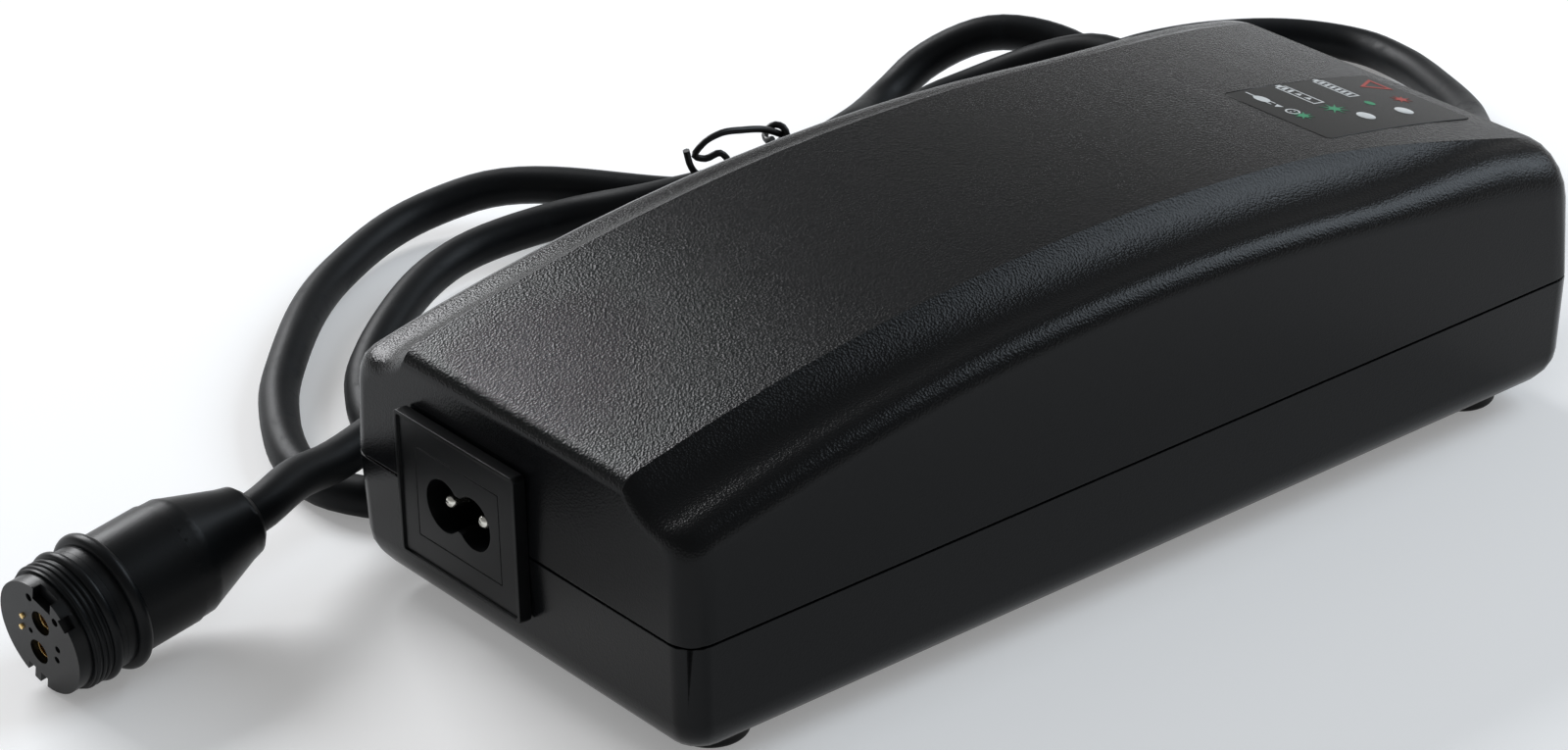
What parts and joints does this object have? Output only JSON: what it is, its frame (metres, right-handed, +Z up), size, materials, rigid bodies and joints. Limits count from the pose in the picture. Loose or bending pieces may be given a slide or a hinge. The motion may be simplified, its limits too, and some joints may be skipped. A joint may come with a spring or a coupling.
{
  "type": "electric bike charger",
  "caption": "Desktop battery charger with an arched two-part housing, a figure-8 mains inlet, a lamp label and an output cord, tied in a hank, that ends in a round connector.",
  "frame": {"origin": "middle of the housing's box, inlet flange included, on the plane that the feet stand on", "axes": "+X from the mains inlet to the cord's exit, +Y away from the long side that the lamp label is nearer to, +Z up"},
  "size_m": [0.3297, 0.1853, 0.0573],
  "materials": {
    "housing": "grained matt black moulding",
    "rubber": "matt black rubber",
    "steel": "zinc-plated steel",
    "inlet_plastic": "satin black moulding",
    "pin_metal": "nickel-plated brass",
    "label_film": "matt printed film",
    "window_plastic": "milky clear plastic",
    "board_laminate": "solder-masked laminate",
    "lamp_resin": "clear resin",
    "sheet_film": "insulating film",
    "ceramic": "ceramic and clip metal",
    "ferrite": "pressed ferrite",
    "copper_wire": "enamelled copper wire",
    "film_resin": "yellow box resin",
    "capacitor_sleeve": "shrink sleeve over aluminium",
    "chip_resin": "moulded resin",
    "sink_metal": "extruded aluminium",
    "bobbin_plastic": "glass-filled plastic",
    "winding_tape": "insulating tape over wire",
    "pale_resin": "white resin",
    "cord_sheath": "matt black cord sheath",
    "tie_coating": "plastic-coated wire",
    "connector_rubber": "satin black overmoulding",
    "contact_metal": "gilded contact"
  },
  "bodies": {
    "root": {"base_tub": "housing", "top_cover": "housing", "foot_inlet_near": "rubber", "foot_inlet_far": "rubber", "foot_cord_near": "rubber", "foot_cord_far": "rubber", "housing_screw_1": "steel", "housing_screw_2": "steel", "housing_screw_3": "steel", "housing_screw_4": "steel", "inlet_bezel": "inlet_plastic", "inlet_socket": "inlet_plastic", "inlet_pin_near": "pin_metal", "inlet_pin_far": "pin_metal", "indicator_label": "label_film", "lamp_window_1": "window_plastic", "lamp_window_2": "window_plastic", "lamp_board": "board_laminate", "indicator_lamp_1": "lamp_resin", "indicator_lamp_2": "lamp_resin", "circuit_board": "board_laminate", "board_screws": "steel", "insulation_sheet": "sheet_film", "fuse": "ceramic", "filter_choke_core": "ferrite", "filter_choke_windings": "copper_wire", "suppression_capacitor_1": "film_resin", "suppression_capacitor_2": "film_resin", "bridge_rectifier": "chip_resin", "storage_capacitor_1": "capacitor_sleeve", "storage_capacitor_2": "capacitor_sleeve", "primary_heatsink": "sink_metal", "switching_transistor": "chip_resin", "transformer_core": "ferrite", "transformer_bobbin": "bobbin_plastic", "transformer_winding": "winding_tape", "secondary_heatsink": "sink_metal", "output_rectifier": "chip_resin", "output_choke_core": "ferrite", "output_choke_winding": "copper_wire", "output_capacitor_1": "capacitor_sleeve", "output_capacitor_2": "capacitor_sleeve", "output_capacitor_3": "capacitor_sleeve", "controller_chip": "chip_resin", "optocoupler": "pale_resin", "strain_relief": "rubber", "output_cord": "cord_sheath", "cord_tie": "tie_coating", "connector_boot": "connector_rubber", "connector_barrel": "connector_rubber", "connector_nose": "connector_rubber", "connector_insert": "inlet_plastic", "power_contact_1": "contact_metal", "power_contact_2": "contact_metal", "signal_pins": "contact_metal"}
  },
  "joints": []
}
